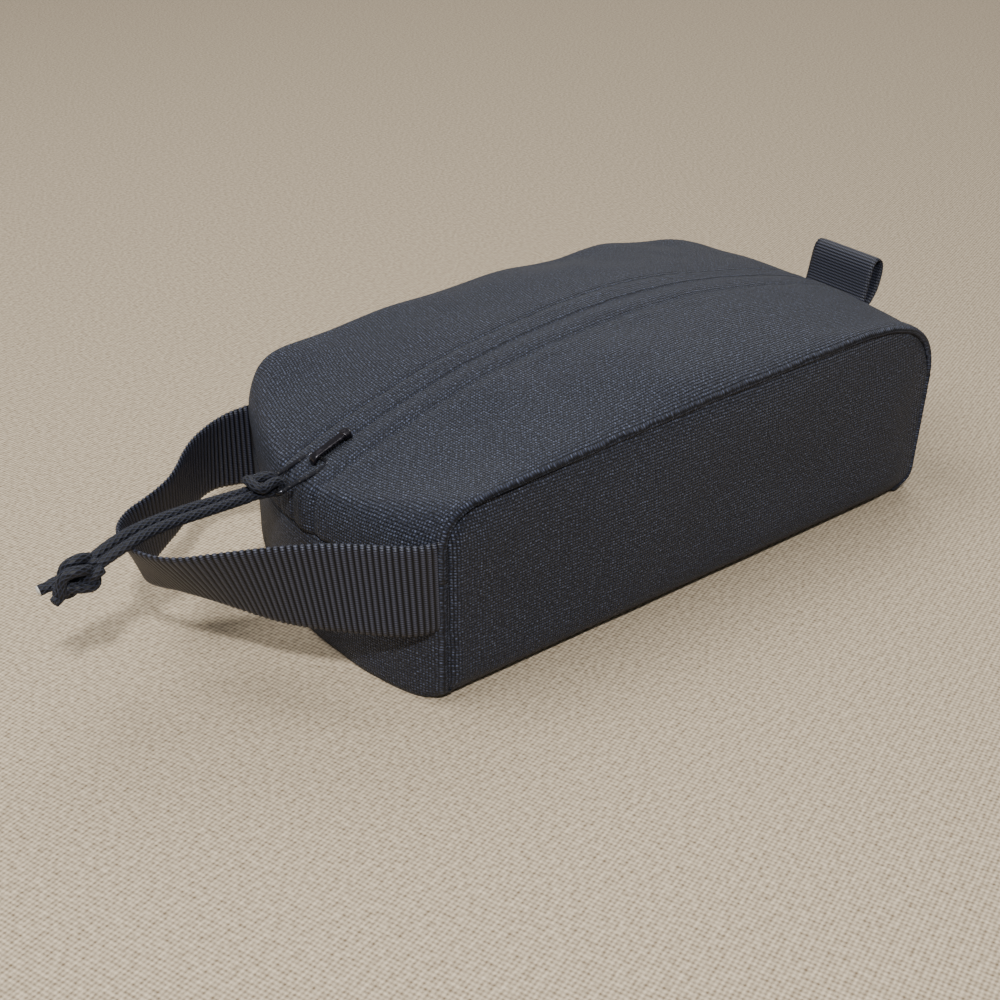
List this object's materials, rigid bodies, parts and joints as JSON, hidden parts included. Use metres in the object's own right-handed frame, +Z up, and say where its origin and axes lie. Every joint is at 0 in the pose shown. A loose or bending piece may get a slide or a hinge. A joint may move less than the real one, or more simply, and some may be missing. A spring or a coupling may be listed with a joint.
{
  "type": "zippered travel pouch",
  "caption": "Soft box-shaped pouch with a lengthwise zip over the top, a doubled pull cord on the slider, a webbing loop handle at one end and a small webbing tab at the other.",
  "frame": {"origin": "on the resting surface, under the middle of the length from the tip of the handle loop to the rear tab, on the zip's line", "axes": "+X from the handle end to the tab end, +Y to the left long side, +Z up"},
  "size_m": [0.2866, 0.0989, 0.0702],
  "materials": {
    "nylon": "dark navy black plain-weave coated nylon, matte",
    "webbing": "black ribbed nylon webbing, slight sheen",
    "zipper_tape": "black knitted polyester tape",
    "zipper_coil": "black nylon monofilament coil",
    "thread": "black bonded nylon thread",
    "slider_metal": "black enamelled zinc casting",
    "puller_wire": "black coated steel wire, glossy",
    "cord": "black braided nylon cord"
  },
  "bodies": {
    "bag": {"body_wrap": "nylon", "front_end_panel": "nylon", "rear_end_panel": "nylon", "zip_panel_left": "nylon", "zip_panel_right": "nylon", "zipper_tape_left": "zipper_tape", "zipper_tape_right": "zipper_tape", "zipper_coil_left": "zipper_coil", "zipper_coil_right": "zipper_coil", "topstitch_left": "thread", "topstitch_right_inner": "thread", "topstitch_right_outer": "thread", "handle_end_left": "webbing", "handle_end_right": "webbing", "rear_tab_end": "webbing"},
    "slider": {"slider_body": "slider_metal", "slider_bridge": "slider_metal"},
    "puller": {"puller_loop": "puller_wire"},
    "pull_cord": {"pull_cord_hitch": "cord", "pull_cord_strand_a": "cord", "pull_cord_strand_b": "cord", "pull_cord_knot": "cord", "pull_cord_tail_a": "cord", "pull_cord_tail_b": "cord"},
    "handle": {"handle_webbing": "webbing"},
    "tab": {"rear_tab": "webbing"}
  },
  "joints": [
    {"name": "zip_travel", "type": "hinge", "parent": "bag", "child": "slider", "pos_m": [0.02555, 0, -0.196], "axis": [0, 1, 0], "range_deg": [0, 32]},
    {"name": "puller_lift", "type": "hinge", "parent": "slider", "child": "puller", "pos_m": [-0.07424, 0, 0.05162], "axis": [0, 1, 0], "range_deg": [0, 100]},
    {"name": "cord_lift", "type": "hinge", "parent": "puller", "child": "pull_cord", "pos_m": [-0.08931, 0, 0.048], "axis": [0, 1, 0], "range_deg": [0, 60]},
    {"name": "handle_bend", "type": "hinge", "parent": "bag", "child": "handle", "pos_m": [-0.07375, 0, 0.023], "axis": [0, 1, 0], "range_deg": [-21, 0], "stiffness_Nm_per_rad": 0.05, "springref_deg": 5.73},
    {"name": "tab_bend", "type": "hinge", "parent": "bag", "child": "tab", "pos_m": [0.12275, 0, 0.0462], "axis": [0, 1, 0], "range_deg": [0, 70], "stiffness_Nm_per_rad": 0.01, "springref_deg": -5.73}
  ]
}
